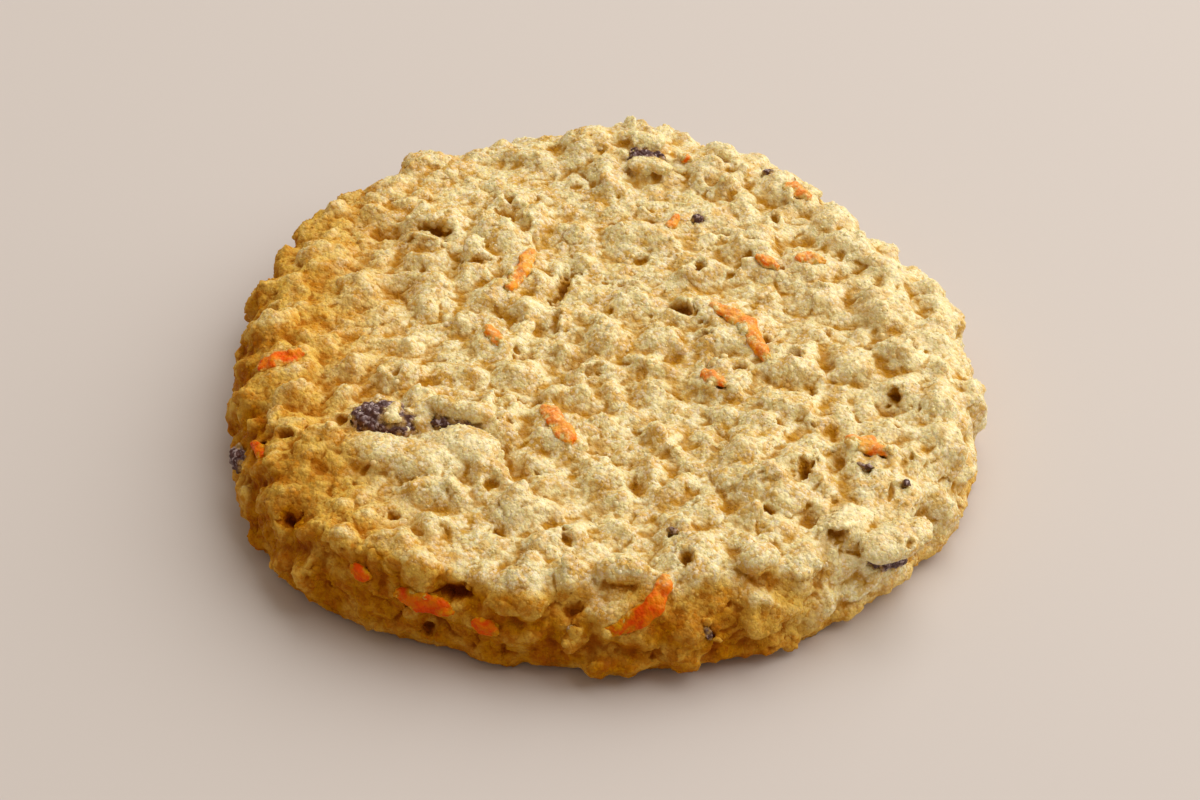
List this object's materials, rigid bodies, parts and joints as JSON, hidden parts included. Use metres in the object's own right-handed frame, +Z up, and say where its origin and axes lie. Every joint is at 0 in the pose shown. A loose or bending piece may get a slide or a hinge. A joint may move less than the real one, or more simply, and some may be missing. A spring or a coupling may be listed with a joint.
{
  "type": "cookie",
  "caption": "Thick round oat cookie with grated carrot and raisins baked into its craggy top and side, on a flat base.",
  "frame": {"origin": "middle of the cookie's box, on the level of its flat base", "axes": "+Z up through the top, -Y the side that faced the viewer, +X to the viewer's right"},
  "size_m": [0.1122, 0.1182, 0.0194],
  "materials": {
    "baked_dough": "matte, grainy baked oat dough, golden at the rim",
    "carrot": "satin, fibrous baked carrot",
    "raisin": "satin, wrinkled dried fruit skin"
  },
  "bodies": {
    "root": {"cookie_dough": "baked_dough", "carrot_01": "carrot", "carrot_02": "carrot", "carrot_03": "carrot", "carrot_04": "carrot", "carrot_05": "carrot", "carrot_06": "carrot", "carrot_07": "carrot", "carrot_08": "carrot", "carrot_09": "carrot", "carrot_10": "carrot", "carrot_11": "carrot", "carrot_12": "carrot", "carrot_13": "carrot", "carrot_14": "carrot", "carrot_15": "carrot", "carrot_16": "carrot", "carrot_17": "carrot", "carrot_18": "carrot", "raisin_01": "raisin", "raisin_02": "raisin", "raisin_03": "raisin", "raisin_04": "raisin", "raisin_05": "raisin", "raisin_06": "raisin", "raisin_07": "raisin", "raisin_08": "raisin", "raisin_09": "raisin", "raisin_10": "raisin", "raisin_11": "raisin", "raisin_12": "raisin"}
  },
  "joints": []
}
